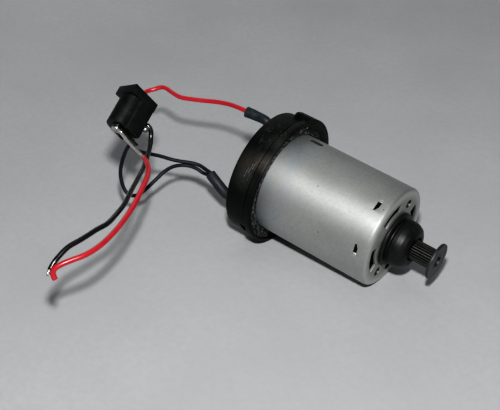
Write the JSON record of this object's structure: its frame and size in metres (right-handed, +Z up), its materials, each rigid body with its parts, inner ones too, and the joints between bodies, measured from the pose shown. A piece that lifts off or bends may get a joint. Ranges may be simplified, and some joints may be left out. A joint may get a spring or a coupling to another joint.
{
  "type": "electric motor",
  "caption": "Cylindrical brushed DC motor in a plated can with a black rear ring, rubber nose cap, toothed pulley, and leads to a barrel jack.",
  "frame": {"origin": "centre of the shaft's front end face, just inside the pulley's end flange", "axes": "+X along the shaft out of the pulley, +Z up across the can, -Y to the side on which the leads and the barrel jack lie"},
  "size_m": [0.127, 0.1217, 0.0547],
  "materials": {
    "plated_steel": "satin zinc plating",
    "ring_rubber": "matte, scuffed",
    "cap_rubber": "semi-gloss moulded",
    "bell_plastic": "moulded",
    "ferrite": "ground",
    "spring_steel": "bright",
    "bronze": "sintered, oiled",
    "brass": "stamped",
    "carbon": "pressed carbon",
    "shaft_steel": "ground",
    "lamination": "stacked silicon steel",
    "enamel_copper": "enamelled copper wire",
    "fibre": "vulcanised fibre",
    "copper": "turned copper",
    "pulley_black": "black oxide, worn",
    "jack_plastic": "moulded",
    "contact_metal": "tin plated",
    "shrink_sleeve": "heat-shrunk",
    "red_insulation": "soft PVC",
    "black_insulation": "soft PVC",
    "tinned_copper": "tinned strands"
  },
  "bodies": {
    "stator": {"motor_can": "plated_steel", "magnet_a": "ferrite", "magnet_b": "ferrite", "magnet_clip_a": "spring_steel", "magnet_clip_b": "spring_steel", "front_bearing": "bronze", "rear_bearing": "bronze", "end_bell": "bell_plastic", "terminal_red": "brass", "terminal_black": "brass", "brush_holder_upper": "brass", "brush_holder_lower": "brass", "brush_spring_upper": "spring_steel", "brush_spring_lower": "spring_steel", "rear_mount_ring": "ring_rubber", "front_boss_cap": "cap_rubber", "jack_housing": "jack_plastic", "jack_centre_pin": "contact_metal", "jack_centre_blade": "contact_metal", "jack_sleeve_contact": "contact_metal", "jack_switch_contact": "contact_metal", "red_terminal_sleeve": "shrink_sleeve", "black_terminal_sleeve": "shrink_sleeve", "red_motor_lead": "red_insulation", "black_motor_lead_a": "black_insulation", "black_motor_lead_b": "black_insulation", "red_supply_lead": "red_insulation", "red_supply_conductor": "tinned_copper", "black_supply_lead": "black_insulation", "black_supply_conductor": "tinned_copper"},
    "rotor": {"shaft": "shaft_steel", "armature_core": "lamination", "armature_windings": "enamel_copper", "armature_insulator_front": "fibre", "armature_insulator_rear": "fibre", "commutator_hub": "bell_plastic", "commutator_segment_1": "copper", "commutator_segment_2": "copper", "commutator_segment_3": "copper", "commutator_segment_4": "copper", "commutator_segment_5": "copper", "thrust_washer_front": "fibre", "thrust_washer_rear": "fibre", "drive_pulley": "pulley_black", "pulley_end_flange": "pulley_black"},
    "brush_upper": {"carbon_brush_upper": "carbon"},
    "brush_lower": {"carbon_brush_lower": "carbon"}
  },
  "joints": [
    {"name": "rotor_spin", "type": "hinge", "parent": "stator", "child": "rotor", "pos_m": [0, 0, 0], "axis": [1, 0, 0], "continuous": true},
    {"name": "brush_upper_slide", "type": "slide", "parent": "stator", "child": "brush_upper", "axis": [0, 0, 1], "range_m": [0, 0.0008], "deforming": ["brush_spring_upper"]},
    {"name": "brush_lower_slide", "type": "slide", "parent": "stator", "child": "brush_lower", "axis": [0, 0, -1], "range_m": [0, 0.0008], "deforming": ["brush_spring_lower"]}
  ]
}
